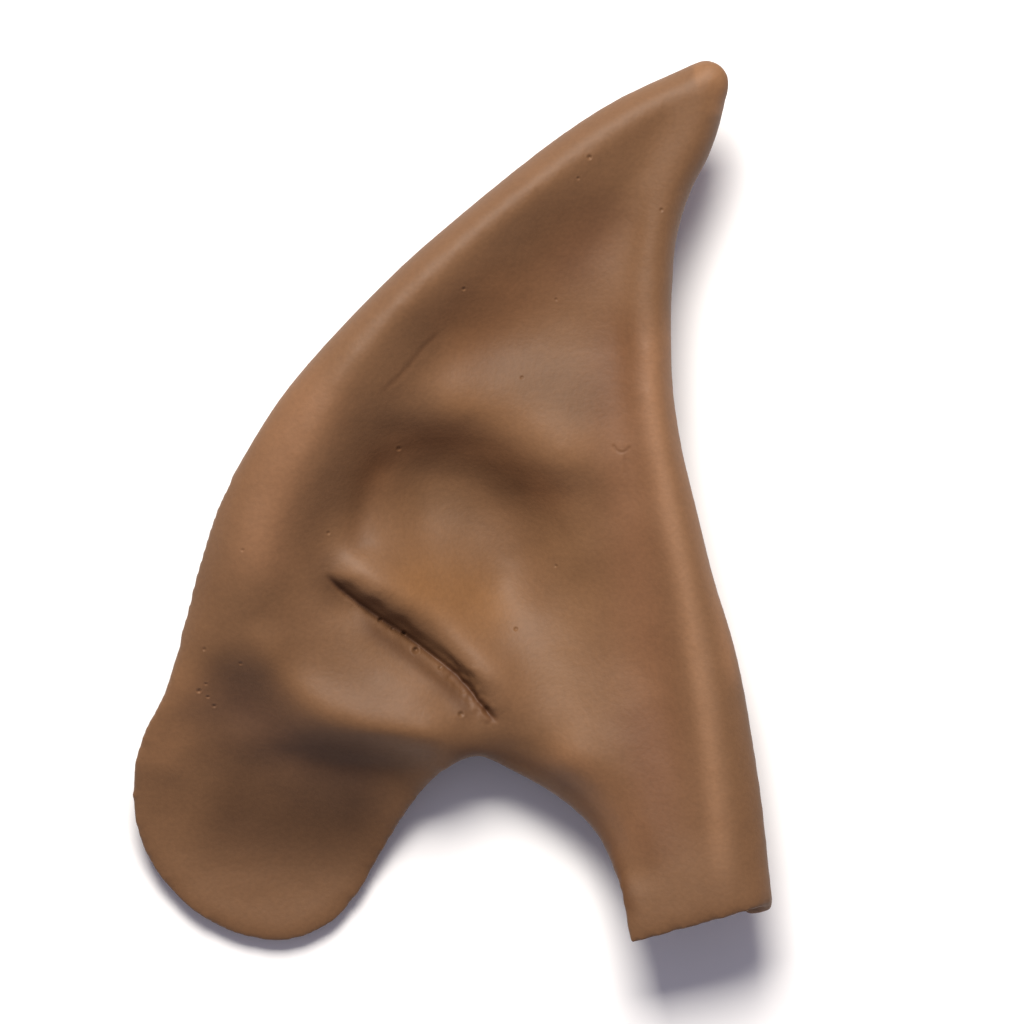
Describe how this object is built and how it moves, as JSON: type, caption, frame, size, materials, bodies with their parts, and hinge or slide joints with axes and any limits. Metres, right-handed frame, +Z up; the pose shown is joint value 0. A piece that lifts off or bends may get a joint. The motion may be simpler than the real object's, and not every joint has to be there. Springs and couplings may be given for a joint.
{
  "type": "elf ear tip",
  "caption": "Pointed latex elf ear tip, a hollow brown skin with a rolled rim, folds, a cheek flap and a rear strip, lying on its back.",
  "frame": {"origin": "under the middle of the ear tip's bounding box, on the surface that its back lies on", "axes": "+Z up, away from the wearer's head, out of the visible face; +Y towards the point; +X from the cheek flap towards the rear strip"},
  "size_m": [0.064, 0.088, 0.0181],
  "materials": {
    "brown_latex": "matte, lightly mottled brown with a faint sheen"
  },
  "bodies": {
    "root": {"ear_tip": "brown_latex"}
  },
  "joints": []
}
